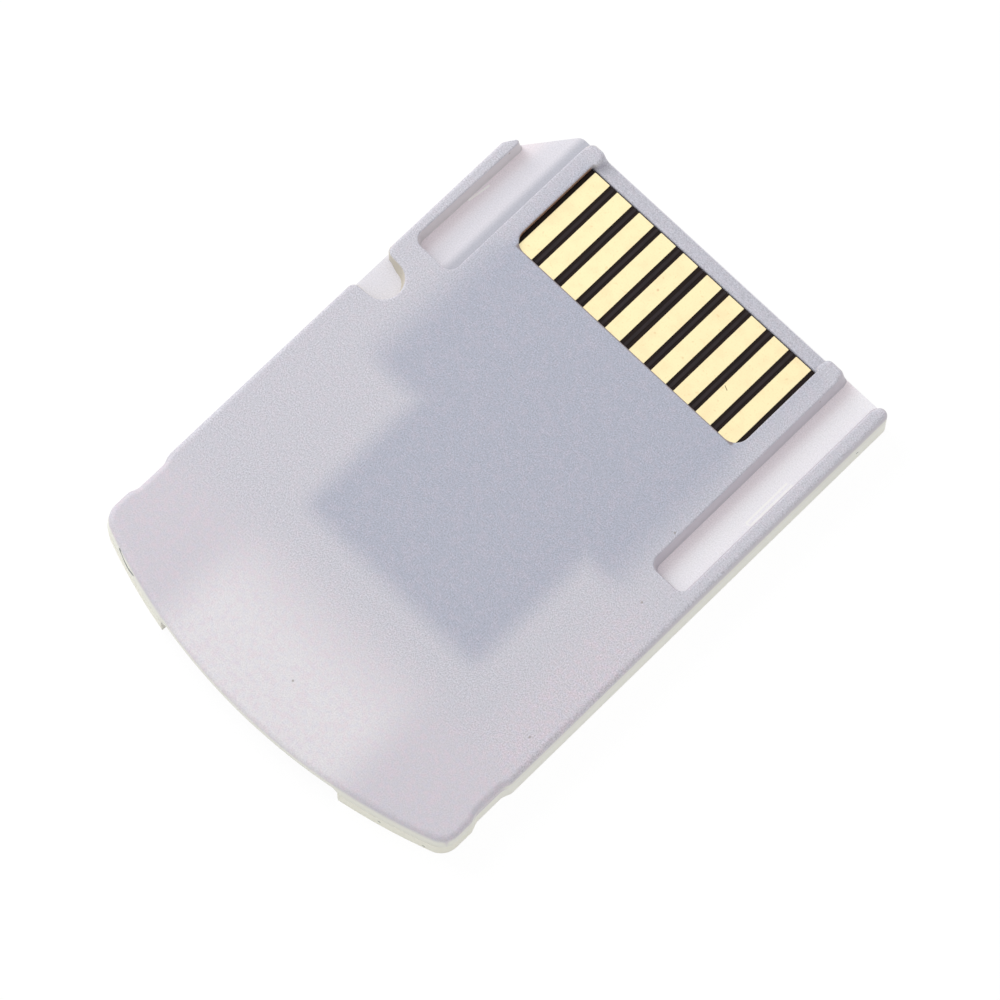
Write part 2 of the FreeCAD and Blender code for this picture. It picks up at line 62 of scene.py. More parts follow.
GRAIN_SCALE, FLOOR_GRAIN, FLOOR_TINT, LINE_WIDTH = 15.0, 0.4, 0.85, 0.07
CREAM_END = (-12.0, -9.5)
SLOT_GLOW, SLOT_SIDE, SLOT_MOUTH = 0.25, 8.0, (-13.5, -12.5)
SPECK_RADIUS, SPECK_SHARE = 0.1, 0.7
MILKINESS = {"Subsurface_Weight": 0.12, "Subsurface_Scale": MM}
BAND_SPECKS = ((7.79, -14.35, 0.7), (9.93, -13.7, 0.4), (10.95, 13.13, 0.9))
FLOOR_HIGHLIGHTS_AND_SCRATCH = (((9.99, 7.1), (9.99, 9.9)), ((9.76, 7.05), (9.76, 9.8)), ((9.72, 7.08), (10.03, 7.12)),
               ((-10.22, 9.3), (-10.05, 10.6)))


def paint(red, green, blue):
    """A linear colour from the 0 to 255 values that a screen shows."""
    shares = [value / 255 for value in (red, green, blue)]
    return (*[share / 12.92 if share < 0.04045 else ((share + 0.055) / 1.055) ** 2.4 for share in shares], 1)


class Link:
    """One output in a node tree. Operators on it add Math nodes, and node() adds any other node."""

    def __init__(self, tree, output=None):
        self.tree = tree
        self.output = output

    def node(self, kind, settings=None, inputs=None, output=0):
        made = self.tree.nodes.new(kind)
        for name, value in (settings or {}).items():
            setattr(made, name, value)
        for socket, value in (inputs or {}).items():
            if isinstance(value, Link):
                self.tree.links.new(value.output, made.inputs[socket])
            else:
                made.inputs[socket].default_value = value
        return Link(self.tree, made.outputs[output])

    def maths(self, operation, *values):
        return self.node("ShaderNodeMath", {"operation": operation}, dict(enumerate(values)))

    def __add__(self, other):
        return self.maths("ADD", self, other)

    def __sub__(self, other):
        return self.maths("SUBTRACT", self, other)

    def __rsub__(self, other):
        return self.maths("SUBTRACT", other, self)

    def __mul__(self, other):
        return self.maths("MULTIPLY", self, other)

    def __truediv__(self, other):
        return self.maths("DIVIDE", self, other)

    def __abs__(self):
        return self.maths("ABSOLUTE", self)

    __radd__ = __add__
    __rmul__ = __mul__


def rise(value, low, high):
    """0 below low and 1 above high, with a smooth rise between them."""
    settings = {"interpolation_type": "SMOOTHSTEP"}
    return value.node("ShaderNodeMapRange", settings, {"Value": value, "From Min": low, "From Max": high})


def tint(first, second, share):
    """The first colour where share is 0, and the second where it is 1."""
    return share.node("ShaderNodeMix", {"data_type": "RGBA"}, {0: share, 6: first, 7: second}, output=2)


def cloud(place, scale, detail=2.0):
    """Soft noise from 0 to 1, with scale spots to a millimetre."""
    return place.node("ShaderNodeTexNoise", {}, {"Vector": place, "Scale": scale, "Detail": detail})


def bumps(height, depth):
    """A normal from a height in millimetres times depth."""
    return height.node("ShaderNodeBump", {}, {"Height": height * (depth * MM), "Distance": 1.0})


def distance(across, along):
    """How far a place lies from a point, from its two steps to it."""
    square = across * across + along * along
    return square.maths("SQRT", square)


def spot(where, at, radius):
    """1 inside a small round spot, with a soft edge."""
    far = sum((value - middle) * (value - middle) for value, middle in zip(where, at))
    return 1 - rise(far, 0.3 * radius * radius, radius * radius)


def stroke(x, y, start, end, width):
    """1 along a thin straight line between two places."""
    length = math.dist(start, end)
    along = [(b - a) / length for a, b in zip(start, end)]
    forth = (x - start[0]) * along[0] + (y - start[1]) * along[1]
    aside = (y - start[1]) * along[0] - (x - start[0]) * along[1]
    inside = rise(forth, 0, width) * (1 - rise(forth, length - width, length))
    return inside * (1 - rise(abs(aside), width * 0.3, width))


def speckle(colour, place, strength):
    """A colour with the fine light and dark grain of a spark-eroded mould."""
    share = (cloud(place, GRAIN_SCALE) - 0.5) * strength + 1
    return colour.node("ShaderNodeVectorMath", {"operation": "SCALE"}, {0: colour, "Scale": share})


def new_material(name):
    """A material, the place on its piece in millimetres, and that place's three coordinates."""
    material = bpy.data.materials.new(name)
    material.use_nodes = True
    start = Link(material.node_tree)
    metres = start.node("ShaderNodeTexCoord", output="Object")
    place = start.node("ShaderNodeVectorMath", {"operation": "SCALE"}, {0: metres, "Scale": 1 / MM})
    split = [start.node("ShaderNodeSeparateXYZ", {}, {0: place}, output=axis) for axis in range(3)]
    return material, place, split


def surface(material, **sockets):
    """Sets the shader's sockets, named with _ for a space, to numbers, colours or links."""
    shader = material.node_tree.nodes["Principled BSDF"]
    for name, value in sockets.items():
        socket = shader.inputs[name.replace("_", " ")]
        if isinstance(value, Link):
            material.node_tree.links.new(value.output, socket)
        else:
            socket.default_value = value


def add_piece(name, mesh, material, slot, *nodes):
    """Shows a mesh as a piece of the card in place of CAD nodes."""
    piece = bpy.data.objects.new(name, mesh)
    scene.collection.objects.link(piece)
    mesh.materials.clear()
    mesh.materials.append(material)
    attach(piece, "root")
    if nodes:
        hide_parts(*nodes)
    return piece


def smooth_copy(node):
    """A CAD node's mesh with its triangles joined and its round faces smooth."""
    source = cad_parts[node].data
    mesh = bpy.data.meshes.new(node)
    mesh.from_pydata([v.co for v in source.vertices], [], [list(p.vertices) for p in source.polygons])
    work = bmesh.new()
    work.from_mesh(mesh)
    bmesh.ops.remove_doubles(work, verts=work.verts, dist=MERGE)
    work.to_mesh(mesh)
    work.free()
    mesh.shade_smooth()
    mesh.set_sharp_from_angle(angle=CREASE)
    return mesh


def weigh_normals(piece):
    """Keeps flat faces flat where they run into rounded edges."""
    weighted = piece.modifiers.new("weighted_normals", "WEIGHTED_NORMAL")
    weighted.keep_sharp = True
    weighted.weight = 100


def front_plastic():
    material, place, (x, y, z) = new_material("front_shell_plastic")
    reach = distance(x, y - END_CENTRE)
    ledge = rise(reach, END_RADIUS - 0.12, END_RADIUS - 0.04)
    floor = rise(z, PARTING - 0.1, PARTING - 0.01) * (1 - ledge)
    # Painted shade: the floor is painted darker on the left than on the right, to tone down the lamp's light
    # on the left.
    colour = tint(paint(*LEFT_FLOOR), paint(*RIGHT_FLOOR), rise(x, -3.0, 3.0))
    # Painted glow: a pale pink tint along the feet of the left rail and the right tower, standing in for
    # light that the milky walls pass to the floor.
    for foot in WALL_GLOW_AT:
        wall_glow = (1 - rise(abs(x - foot), 0.1, WALL_GLOW_WIDE)) * rise(y + x * 0.3, 1.5, 2.5)
        colour = tint(colour, paint(*FLOOR_WALL_GLOW), wall_glow * FLOOR_TINT)
    fall = (1 - rise(abs(x - SHADE_AT), 0.1, SHADE_WIDE)) * rise(y, GROOVES_FROM, GROOVES_FROM + 1)
    colour = tint(colour, paint(*FLOOR_SHADE), fall * FLOOR_TINT)
    colour = speckle(colour, place, FLOOR_GRAIN)
    # Painted highlights: the light lines on the right groove's floor stand in for reflections; the line in
    # the left groove is a light scratch.
    for start, end in FLOOR_HIGHLIGHTS_AND_SCRATCH:
        colour = tint(colour, paint(*FLOOR_SHINE), stroke(x, y, start, end, LINE_WIDTH) * FLOOR_TINT)
    # Painted glow: the sides, end and underside are painted pale cream, creamier towards the curved end,
    # standing in for light through the thin plastic.
    edge_glow = tint(paint(*FRONT_EDGE_GLOW), paint(*EDGE_CREAM_GLOW), 1 - rise(y + cloud(place, 0.6), *CREAM_END))
    colour = tint(edge_glow, colour, floor)
    for at in BAND_SPECKS:
        colour = tint(colour, paint(*FRONT_MARK), spot((x, y, z), at, SPECK_RADIUS) * SPECK_SHARE)
    # Painted glow: a faint cream emission on the slot's inner walls near its mouth lifts their shade,
    # standing in for light through the milky plastic.
    inner = (1 - rise(reach, END_RADIUS - 0.1, END_RADIUS)) * (1 - rise(y, *SLOT_MOUTH)) * (1 - floor)
    inner = inner * (1 - rise(abs(x), SLOT_SIDE, SLOT_SIDE + 0.4)) * rise(z, 0.3, 0.5)
    grain = cloud(place, 9.0, 3.0)
    surface(material, Base_Color=colour, Roughness=0.42 + grain * 0.12, Normal=bumps(grain, 0.006))
    glow = tint((0, 0, 0, 1), paint(*EDGE_CREAM_GLOW), inner)
    surface(material, Emission_Color=glow, Emission_Strength=SLOT_GLOW)
    surface(material, **MILKINESS, Subsurface_Radius=(0.6, 0.55, 0.5))
    return material


front_shell = add_piece("front_shell_moulding", smooth_copy("front_shell"), front_plastic(),
                        "front_shell_plastic", "front_shell")
weigh_normals(front_shell)

# Card socket: a folded steel cover over a black insulator, with eight gold-flashed bronze springs
# that bear on the memory card. The springs' tails and the cover's feet are soldered to the board.
STEEL, STEEL_LINE, STEEL_STAIN = (196, 196, 195), (176, 175, 172), (190, 184, 172)
INSULATOR, INSULATOR_PALE = (30, 30, 31), (46, 45, 44)
SPRING_GOLD, SPRING_DULL = (240, 218, 160), (222, 192, 128)


def rolled_steel():
    material, place, _ = new_material("socket_steel")
    stretch = place.node("ShaderNodeMapping", {}, {"Vector": place, "Scale": (14.0, 0.7, 14.0)})
    lines = cloud(stretch, 1.0, 4.0)
    stain = cloud(place, 0.5)
    colour = tint(paint(*STEEL), paint(*STEEL_LINE), lines)
    colour = tint(colour, paint(*STEEL_STAIN), stain * 0.35)
    surface(material, Base_Color=colour, Metallic=1.0, Roughness=0.26 + lines * 0.16,
            Normal=bumps(lines, 0.0015))
    return material


def insulator():
    material, place, _ = new_material("socket_insulator")
    grain = cloud(place, 12.0, 3.0)
    colour = tint(paint(*INSULATOR), paint(*INSULATOR_PALE), grain)
    surface(material, Base_Color=colour, Roughness=0.5 + grain * 0.2, Normal=bumps(grain, 0.004))
    return material


def gold_flash():
    material, place, _ = new_material("spring_gold")
    patch = cloud(place, 2.5)
    colour = tint(paint(*SPRING_GOLD), paint(*SPRING_DULL), patch)
    surface(material, Base_Color=colour, Metallic=1.0, Roughness=0.28 + patch * 0.1,
            Normal=bumps(patch, 0.002))
    return material


shield = add_piece("socket_cover", smooth_copy("socket_shield"), rolled_steel(), "shield_steel",
                   "socket_shield")
weigh_normals(shield)
housing = add_piece("socket_insulator", smooth_copy("socket_housing"), insulator(), "housing_plastic",
                    "socket_housing")
weigh_normals(housing)
spring_finish = gold_flash()
for node in sorted(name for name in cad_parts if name.startswith("spring_contact")):
    name = node.replace("contact", "strip")
    spring = add_piece(name, smooth_copy(node), spring_finish, "spring_gold", node)
    weigh_normals(spring)

# Supply capacitor: a tan ceramic chip that steadies the memory card's supply. Its ends are tinned and
# soldered to the underside of the board, beside the socket.
CHIP_END = 0.22
CHIP_EDGE = 0.04
CERAMIC, CERAMIC_DARK, TIN = (176, 146, 108), (158, 128, 94), (205, 205, 202)


def chip_ceramic():
    material, place, (_, y, _) = new_material("capacitor_ceramic")
    low, high = [corner.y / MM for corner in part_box("supply_capacitor")]
    body = (high - low) / 2 - CHIP_END
    tin = rise(abs(y - (low + high) / 2), body - 0.01, body)
    grain = cloud(place, 10.0, 3.0)
    ceramic = tint(paint(*CERAMIC), paint(*CERAMIC_DARK), grain)
    surface(material, Base_Color=tint(ceramic, paint(*TIN), tin), Metallic=tin,
            Roughness=0.45 - tin * 0.12, Normal=bumps(grain, 0.003))
    return material


chip = add_piece("supply_chip", smooth_copy("supply_capacitor"), chip_ceramic(), "capacitor_ceramic",
                 "supply_capacitor")
softened = chip.modifiers.new("fired_edges", "BEVEL")
softened.width = CHIP_EDGE * MM
softened.segments = 3
softened.limit_method = "ANGLE"

# Circuit board: black glass-fibre laminate, T-shaped, clamped between the shells. Its bare resin
# shows dark brown beside the pads, and a printed black mask leaves a low rib in every gap.
PAD_COUNT = 10
PAD_PITCH = 1.415
PAD_MIDDLE_GAP = 0.1
PAD_ASIDE = -0.03
MASK_RIB_WIDTH = 0.16
MASK_RIB_HEIGHT = 0.02
MASK_RIB_MARGIN = 0.02
MASK_RIB_CORNER = 0.02
MASK_RIB_EDGE = 0.008
RESIN, RESIN_BROWN = (14, 9, 8), (46, 26, 21)
MASK, MASK_PALE = (26, 22, 23), (58, 49, 51)
BOARD_SHINE = 0.15
PLATE_SIZES = ("Pitch", "Middle Gap", "Width", "Length", "Height", "Corner", "Edge", "Aside", "Foot", "Level")


def laminate():
    material, place, _ = new_material("board_laminate")
    fibres = place.node("ShaderNodeMapping", {}, {"Vector": place, "Scale": (1.0, 9.0, 1.0)})
    weave = cloud(fibres, 1.5, 3.0)
    brown = cloud(place, 0.9)
    colour = tint(paint(*RESIN), paint(*RESIN_BROWN), weave * brown)
    surface(material, Base_Color=colour, Roughness=0.45 + weave * 0.2, Specular_IOR_Level=BOARD_SHINE,
            Normal=bumps(weave, 0.004))
    return material


def solder_mask():
    material, place, _ = new_material("board_mask")
    along = place.node("ShaderNodeMapping", {}, {"Vector": place, "Scale": (6.0, 1.2, 6.0)})
    streak = cloud(along, 1.0, 3.0)
    colour = tint(paint(*MASK), paint(*MASK_PALE), streak)
    surface(material, Base_Color=colour, Roughness=0.5 + streak * 0.2, Specular_IOR_Level=BOARD_SHINE,
            Normal=bumps(streak, 0.004))
    return material


def row_of_plates():
    """A tree that lays out like flat plates across the card, with a wider gap in the middle."""
    tree = bpy.data.node_groups.new("row_of_plates", "GeometryNodeTree")
    tree.interface.new_socket("Geometry", in_out="OUTPUT", socket_type="NodeSocketGeometry")
    tree.interface.new_socket("Count", in_out="INPUT", socket_type="NodeSocketInt")
    for name in PLATE_SIZES:
        tree.interface.new_socket(name, in_out="INPUT", socket_type="NodeSocketFloat")
    tree.interface.new_socket("Finish", in_out="INPUT", socket_type="NodeSocketMaterial")
    start = Link(tree)
    given = tree.nodes.new("NodeGroupInput")
    count, pitch, gap, width, length, height, corner, edge, aside, foot, level, finish = [
        Link(tree, socket) for socket in given.outputs[:len(PLATE_SIZES) + 2]]
    first = pitch * (count - 1) * -0.5 + aside
    origin = start.node("ShaderNodeCombineXYZ", {}, {0: first, 1: foot + length * 0.5, 2: level})
    stride = start.node("ShaderNodeCombineXYZ", {}, {0: pitch})
    points = start.node("GeometryNodeMeshLine", {"mode": "OFFSET"},
                        {"Count": count, "Start Location": origin, "Offset": stride})
    number = start.node("GeometryNodeInputIndex")
    from_middle = number - (count - 1) * 0.5
    side = from_middle.maths("SIGN", from_middle)
    parted = start.node("ShaderNodeCombineXYZ", {}, {0: side * gap * 0.5})
    points = start.node("GeometryNodeSetPosition", {}, {"Geometry": points, "Offset": parted})
    outline = start.node("GeometryNodeCurvePrimitiveQuadrilateral", {}, {"Width": width, "Height": length})
    outline = start.node("GeometryNodeFilletCurve", {"mode": "POLY"},
                         {"Curve": outline, "Count": 4, "Radius": corner})
    sheet = start.node("GeometryNodeFillCurve", {"mode": "NGONS"}, {"Curve": outline})
    base = start.node("GeometryNodeFlipFaces", {}, {"Mesh": sheet})
    walls = start.node("GeometryNodeExtrudeMesh", {}, {"Mesh": sheet, "Offset Scale": height - edge})
    top = Link(tree, walls.output.node.outputs["Top"])
    raised = start.node("GeometryNodeExtrudeMesh", {},
                        {"Mesh": walls, "Selection": top, "Offset Scale": edge})
    across = 1 - edge * 2 / width
    lengthways = 1 - edge * 2 / length
    shrink = start.node("ShaderNodeCombineXYZ", {}, {0: across, 1: lengthways, 2: 1.0})
    middle = start.node("GeometryNodeInputPosition")
    inside = start.node("ShaderNodeVectorMath", {"operation": "MULTIPLY"}, {0: middle, 1: shrink})
    top = Link(tree, raised.output.node.outputs["Top"])
    raised = start.node("GeometryNodeSetPosition", {},
                        {"Geometry": raised, "Selection": top, "Position": inside})
    join = tree.nodes.new("GeometryNodeJoinGeometry")
    tree.links.new(base.output, join.inputs[0])
    tree.links.new(raised.output, join.inputs[0])
    plate = start.node("GeometryNodeMergeByDistance", {},
                       {"Geometry": Link(tree, join.outputs[0]), "Distance": MERGE})
    plates = start.node("GeometryNodeInstanceOnPoints", {}, {"Points": points, "Instance": plate})
    plates = start.node("GeometryNodeRealizeInstances", {}, {"Geometry": plates})
    plates = start.node("GeometryNodeSetMaterial", {}, {"Geometry": plates, "Material": finish})
    result = tree.nodes.new("NodeGroupOutput")
    tree.links.new(plates.output, result.inputs[0])
    return tree


plate_row = row_of_plates()


def laid_out(name, **inputs):
    """A plain mesh of the row of plates with these inputs."""
    holder = bpy.data.objects.new(name, bpy.data.meshes.new(name))
    scene.collection.objects.link(holder)
    row = holder.modifiers.new("row", "NODES")
    row.node_group = plate_row
    for socket, value in inputs.items():
        row[plate_row.interface.items_tree[socket.replace("_", " ")].identifier] = value
    seen = holder.evaluated_get(bpy.context.evaluated_depsgraph_get())
    mesh = bpy.data.meshes.new_from_object(seen)
    bpy.data.objects.remove(holder)
    mesh.name = name
    return mesh


board = add_piece("board_sheet", smooth_copy("circuit_board"), laminate(), "board_black", "circuit_board")
weigh_normals(board)
board_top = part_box("circuit_board")[1]
pad_low, pad_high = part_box("contact_pad_1")
mask_finish = solder_mask()
mask_mesh = laid_out(
    "mask_ribs", Count=PAD_COUNT - 1, Pitch=PAD_PITCH * MM, Middle_Gap=PAD_MIDDLE_GAP * MM,
    Width=MASK_RIB_WIDTH * MM, Length=board_top.y - MASK_RIB_MARGIN * MM - pad_low.y,
    Height=MASK_RIB_HEIGHT * MM, Corner=MASK_RIB_CORNER * MM, Edge=MASK_RIB_EDGE * MM,
    Aside=PAD_ASIDE * MM, Foot=pad_low.y, Level=board_top.z, Finish=mask_finish)
add_piece("mask_ribs", mask_mesh, mask_finish, "board_black")

# Contact pads: ten copper pads plated with nickel and gold, etched on the board. They are a little
# grainy, with faint pink blotches, and one has a short scratch.
PAD_CORNER = 0.04
PAD_EDGE = 0.012
PAD_TRIM, PAD_REACH = 0.02, 0.03
GOLD, GOLD_BLUSH, GOLD_WEAR = (250, 236, 190), (248, 224, 180), (206, 168, 116)
SCRATCH, SCRATCH_DARK, SCRATCH_WIDTH = ((4.57, 11.04), (4.84, 10.92)), (110, 84, 60), 0.03
FAINT_MARK, FAINT_BROWN, FAINT_RADIUS = (-0.82, 12.21), (200, 150, 110), 0.08


def plating():
    material, place, (x, y, _) = new_material("pad_gold")
    blotch = cloud(place, 1.3, 3.0)
    grain = cloud(place, 11.0, 2.0)
    spots = rise(cloud(place, 4.2, 1.0), 0.66, 0.8)
    colour = tint(paint(*GOLD), paint(*GOLD_BLUSH), rise(blotch, 0.4, 0.75) * 0.6)
    colour = tint(colour, paint(*GOLD_WEAR), spots * 0.26 + rise(grain, 0.52, 0.8) * 0.2)
    colour = tint(colour, paint(*SCRATCH_DARK), stroke(x, y, *SCRATCH, SCRATCH_WIDTH) * 0.8)
    colour = tint(colour, paint(*FAINT_BROWN), spot((x, y), FAINT_MARK, FAINT_RADIUS) * 0.4)
    surface(material, Base_Color=colour, Metallic=1.0, Roughness=0.30 + grain * 0.08,
            Normal=bumps(grain, 0.0012))
    return material


pad_finish = plating()
pad_mesh = laid_out(
    "contact_pads", Count=PAD_COUNT, Pitch=PAD_PITCH * MM, Middle_Gap=PAD_MIDDLE_GAP * MM,
    Width=pad_high.x - pad_low.x - PAD_TRIM * MM, Length=pad_high.y - pad_low.y + PAD_REACH * MM,
    Height=pad_high.z - pad_low.z, Corner=PAD_CORNER * MM, Edge=PAD_EDGE * MM,
    Aside=PAD_ASIDE * MM, Foot=pad_low.y, Level=pad_low.z, Finish=pad_finish)
add_piece("contact_pads", pad_mesh, pad_finish, "pad_gold",
          *[f"contact_pad_{index + 1}" for index in range(PAD_COUNT)])

# Back shell: the cover on the contact side, moulded in milky white plastic with a spark-eroded,
# faintly pearly top, on which glints are painted. Its roof is so thin that the board shows through it
# as a soft grey shade. Over the open slot it is painted paler, a painted glow for light that comes
# through the roof there. Two guide grooves, a latch notch and the contact window are moulded in.
Wall = namedtuple("Wall", "rim draft cove")
OUTSIDE = Wall(0.28, 0.0, 0.0)
END_WALL = Wall(0.28, 0.10, 0.0)
RAIL = Wall(0.18, 0.0, 0.0)
NOTCH = Wall(0.12, 0.12, 0.05)
GROOVE = Wall(0.07, 0.15, 0.05)
RIDGE = Wall(0.07, 0.10, 0.05)
NOSE_END = Wall(0.28, 0.15, 0.05)
WINDOW = Wall(0.08, 0.0, 0.0)
TOP, ROOF_UNDERSIDE, COVE_TOP = 2.0, 1.64, 1.34
END_CORNER, END_REACH, END_STEPS, LEDGE_FROM = 1.0, 9.8, 48, 5.5
KEY_SIDE, KEY_END, KEY_BEND = 2.93, 2.25, 0.3
KEY_FACE = Vector((-KEY_SIDE, KEY_END)).normalized()
GRIP_LOW, GRIP_HIGH, GRIP_SLOPE, GRIP_DEPTH, GRIP_BEND = -11.65, -9.15, 0.45, 0.18, 0.5
LEFT_RAIL, LEFT_TOWER, LEFT_FOOT = -10.46, -8.031, 6.01
RIGHT_RAIL, RIGHT_TOWER, RIGHT_FOOT = 10.26, 8.171, 2.41
GROOVE_BEND, NOSE_BEND, NOSE_RUN, NOSE_FLARE, NOSE_CORNER = 0.5, 0.33, 0.6, 0.14, 0.35
TIP_SIDE, TIP_BEND = -10.35, 0.12
NOTCH_LOW, NOTCH_HIGH, NOTCH_DEPTH, NOTCH_LIP = 2.67, 4.67, 1.88, 0.4
WINDOW_SIDE, WINDOW_FOOT, WINDOW_BEND = 7.151, 9.11, 0.75
LIP, LIP_FRONT, LIP_TOP, LIP_TIP = 14.40, 15.20, 1.62, 1.26
LIP_BEND, LIP_TIP_BEND = 0.1, 0.05
BOARD_SIDE, BOARD_SHOULDER, BOARD_TAIL, BOARD_BEND = 7.801, 0.90, -6.35, 0.5
TAB_LEFT, TAB_RIGHT = -4.70, 6.00
SUPPORT = 0.04
NEAR = 0.0001
BEND_STEP = math.radians(11)
RIM_STEPS, COVE_STEPS = 6, 4


def bend(before, corner, after):
    """The points of a rounded corner with their outward normals; the outline runs anticlockwise."""
    at = Vector(corner[:2])
    back = (Vector(before[:2]) - at).normalized()
    ahead = (Vector(after[:2]) - at).normalized()
    radius = corner[2]
    if radius == 0:
        normal = Vector((ahead.y, -ahead.x)) - Vector((back.y, -back.x))
        return [(at, normal.normalized())]
    half = back.angle(ahead) / 2
    centre = at + (back + ahead).normalized() * radius / math.sin(half)
    start = at + back * radius / math.tan(half) - centre
    turn = (math.pi - 2 * half) * (1 if back.cross(ahead) < 0 else -1)
    steps = max(2, round(abs(turn) / BEND_STEP))
    arms = [Matrix.Rotation(turn * step / steps, 2) @ start for step in range(steps + 1)]
    outwards = 1 if turn > 0 else -1
    return [(centre + arm, arm.normalized() * outwards) for arm in arms]


def outline(corners, closed=True):
    """Points, normals and walls along corners that are (x, y, bend radius, wall)."""
    run = []
    for count, corner in enumerate(corners):
        before, after = corners[count - 1], corners[(count + 1) % len(corners)]
        if not closed and count in (0, len(corners) - 1):
            run.append((Vector(corner[:2]), Vector((0, 0)), corner[3]))
            continue
        for point, normal in bend(before, corner, after):
            if not run or (point - run[-1][0]).length > NEAR:
                run.append((point, normal, corner[3]))
    return run


def grip(side):
    """The corners of the shallow finger grip in one long side, from the curved end upwards."""
    floor = side - math.copysign(GRIP_DEPTH, side)
    return [(side, GRIP_LOW, GRIP_BEND, OUTSIDE), (floor, GRIP_LOW + GRIP_SLOPE, GRIP_BEND, OUTSIDE),
            (floor, GRIP_HIGH - GRIP_SLOPE, GRIP_BEND, OUTSIDE), (side, GRIP_HIGH, GRIP_BEND, OUTSIDE)]


def cover_outline():
    """The cover's corners: up the right side, along the comb of rails and towers, down the left side."""
    shoulder = END_CENTRE - math.sqrt(END_RADIUS ** 2 - SIDE ** 2)
    tip = NOSE - KEY_SIDE + (TIP_SIDE + SIDE) * KEY_SIDE / KEY_END
    run = NOSE - NOSE_RUN
    notch_end = NOTCH_DEPTH - SIDE
    notch_bend = (NOTCH_HIGH - NOTCH_LOW) / 2
    corners = [(SIDE, shoulder, END_CORNER, END_WALL), *grip(SIDE), (SIDE, NOSE, NOSE_CORNER, OUTSIDE)]
    corners += [(RIGHT_RAIL, NOSE, NOSE_BEND, NOSE_END), (RIGHT_RAIL, run, 0, GROOVE),
                (RIGHT_RAIL, RIGHT_FOOT, GROOVE_BEND, GROOVE), (RIGHT_TOWER, RIGHT_FOOT, GROOVE_BEND, GROOVE),
                (RIGHT_TOWER, run, 0, GROOVE), (RIGHT_TOWER, NOSE, NOSE_BEND, NOSE_END)]
    flare = WINDOW_SIDE - NOSE_FLARE
    corners += [(flare, NOSE, NOSE_BEND, NOSE_END), (flare, LIP + NOSE_FLARE, 0, WINDOW),
                (WINDOW_SIDE, LIP, 0, WINDOW),
                (WINDOW_SIDE, WINDOW_FOOT, WINDOW_BEND, WINDOW),
                (-WINDOW_SIDE, WINDOW_FOOT, WINDOW_BEND, WINDOW),
                (-WINDOW_SIDE, LIP, 0, WINDOW), (-flare, LIP + NOSE_FLARE, 0, WINDOW),
                (-flare, NOSE, NOSE_BEND, NOSE_END)]
    corners += [(LEFT_TOWER, NOSE, NOSE_BEND, NOSE_END), (LEFT_TOWER, run, 0, GROOVE),
                (LEFT_TOWER, LEFT_FOOT, GROOVE_BEND, GROOVE), (LEFT_RAIL, LEFT_FOOT, GROOVE_BEND, RIDGE),
                (TIP_SIDE, tip, TIP_BEND, RIDGE)]
    corners += [(-SIDE, NOSE - KEY_SIDE, KEY_BEND, RAIL), (-SIDE, NOTCH_HIGH, NOTCH_LIP, RAIL),
                (notch_end, NOTCH_HIGH, notch_bend, NOTCH), (notch_end, NOTCH_LOW, notch_bend, NOTCH),
                (-SIDE, NOTCH_LOW, NOTCH_LIP, RAIL), *grip(-SIDE)[::-1],
                (-SIDE, shoulder, END_CORNER, END_WALL)]
    for step in range(END_STEPS + 1):
        x = END_REACH * (2 * step / END_STEPS - 1)
        wall = END_WALL if abs(x) > LEDGE_FROM else OUTSIDE
        corners.append((x, END_CENTRE - math.sqrt(END_RADIUS ** 2 - x ** 2), 0, wall))
    return corners


def board_pocket():
    """The corners of the board's pocket, from the foot of the right tower round to the left one."""
    right = [(WINDOW_SIDE, LIP, 0, WINDOW), (BOARD_SIDE, LIP, 0, WINDOW),
             (BOARD_SIDE, BOARD_SHOULDER, BOARD_BEND, WINDOW),
             (TAB_RIGHT, BOARD_SHOULDER, BOARD_BEND, WINDOW), (TAB_RIGHT, BOARD_TAIL, BOARD_BEND, WINDOW)]
    left = [(TAB_LEFT, BOARD_TAIL, BOARD_BEND, WINDOW), (TAB_LEFT, BOARD_SHOULDER, BOARD_BEND, WINDOW),
            (-BOARD_SIDE, BOARD_SHOULDER, BOARD_BEND, WINDOW), (-BOARD_SIDE, LIP, 0, WINDOW),
            (-WINDOW_SIDE, LIP, 0, WINDOW)]
    return right + left


def kept(point):
    """A place pulled back to the card's sides, nose or cut corner if it lies beyond them."""
    beyond = KEY_FACE.dot(point - Vector((-SIDE, NOSE - KEY_SIDE)))
    point = point - KEY_FACE * max(beyond, 0)
    return max(-SIDE, min(point.x, SIDE)), min(point.y, NOSE)


def lean(wall, height):
    """How far its draft has taken a wall outwards at a height."""
    return wall.draft * (TOP - wall.rim - height) / (TOP - wall.rim - PARTING)


def on_rim(angle):
    """A level on the rounded rims: each wall's height and step outwards at an angle round its rim."""
    return lambda wall: (TOP - wall.rim * (1 - math.cos(angle)), -wall.rim * (1 - math.sin(angle)))


def on_wall(height, share=0):
    """A level on the walls below the rims, with a share of the cove at their foot."""
    return lambda wall: (height, lean(wall, height) + wall.cove * share)


def ring(work, run, level):
    """Vertices along a run, at the level's height and step outwards for each wall."""
    made = []
    for point, normal, wall in run:
        height, step = level(wall)
        made.append(work.verts.new((*kept(point + normal * step), height)))
    return made


def join_rings(work, upper, lower):
    """Faces all the way round between two rings."""
    for count in range(len(upper)):
        work.faces.new((upper[count - 1], lower[count - 1], lower[count], upper[count]))


